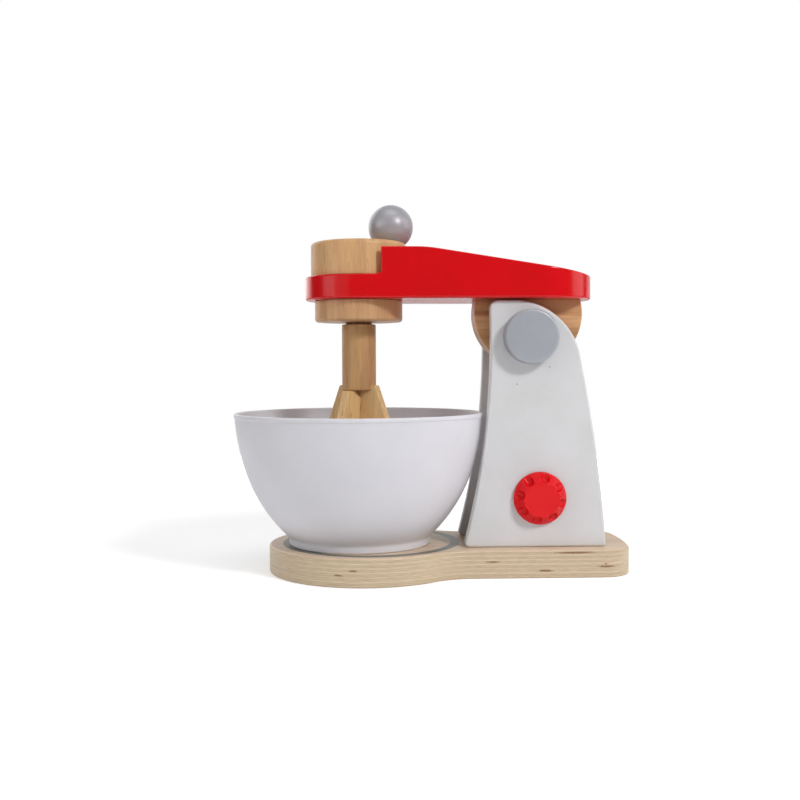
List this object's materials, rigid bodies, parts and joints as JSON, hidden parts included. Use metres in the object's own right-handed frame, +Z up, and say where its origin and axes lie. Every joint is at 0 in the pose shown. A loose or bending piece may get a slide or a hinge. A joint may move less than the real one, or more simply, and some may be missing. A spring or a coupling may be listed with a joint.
{
  "type": "toy stand mixer",
  "caption": "Wooden toy stand mixer: a tilting arm holds a turning head with a crank ball and a whisk over a loose bowl, on a stand with a speed knob.",
  "frame": {"origin": "on the underside of the base board, on the axis of the mixing head", "axes": "+Z up, +X from the mixing head to the stand, -Y towards the side with the speed knob"},
  "size_m": [0.2585, 0.1642, 0.2421],
  "materials": {
    "plywood": "birch plywood, sanded and clear coated",
    "white_paint": "satin white paint on wood",
    "beech": "sanded hardwood, clear coated",
    "red_paint": "semi-gloss red paint on wood",
    "grey_paint": "satin grey paint on wood",
    "bowl_plastic": "moulded white plastic, matte",
    "screw_steel": "zinc plated"
  },
  "bodies": {
    "stand": {"base_board": "plywood", "front_panel": "white_paint", "rear_panel": "white_paint", "panel_spacer": "beech", "panel_dowels": "beech", "base_screws": "screw_steel"},
    "arm": {"mixer_arm": "red_paint", "hinge_block": "beech", "arm_dowels": "beech", "hinge_axle": "beech", "front_axle_cap": "grey_paint", "rear_axle_cap": "grey_paint", "front_hinge_ring": "beech", "rear_hinge_ring": "beech"},
    "head": {"head_upper": "beech", "head_lower": "beech", "head_spindle": "beech", "crank_ball": "grey_paint", "crank_peg": "beech", "whisk_shaft": "beech", "whisk_blade_a": "beech", "whisk_blade_b": "beech"},
    "knob": {"speed_knob": "red_paint", "knob_dowel": "beech", "knob_washer": "beech"},
    "bowl": {"mixing_bowl": "bowl_plastic"}
  },
  "joints": [
    {"name": "arm_tilt", "type": "hinge", "parent": "stand", "child": "arm", "pos_m": [0.1098, 0, 0.1534], "axis": [0, 1, 0], "range_deg": [0, 58]},
    {"name": "head_spin", "type": "hinge", "parent": "arm", "child": "head", "pos_m": [0, 0, 0.1857], "axis": [0, 0, 1], "continuous": true},
    {"name": "knob_turn", "type": "hinge", "parent": "stand", "child": "knob", "pos_m": [0.1158, -0.0239, 0.0498], "axis": [0, 1, 0], "continuous": true},
    {"name": "bowl_lift", "type": "slide", "parent": "stand", "child": "bowl", "axis": [0, 0, 1], "range_m": [0, 0.018]}
  ]
}
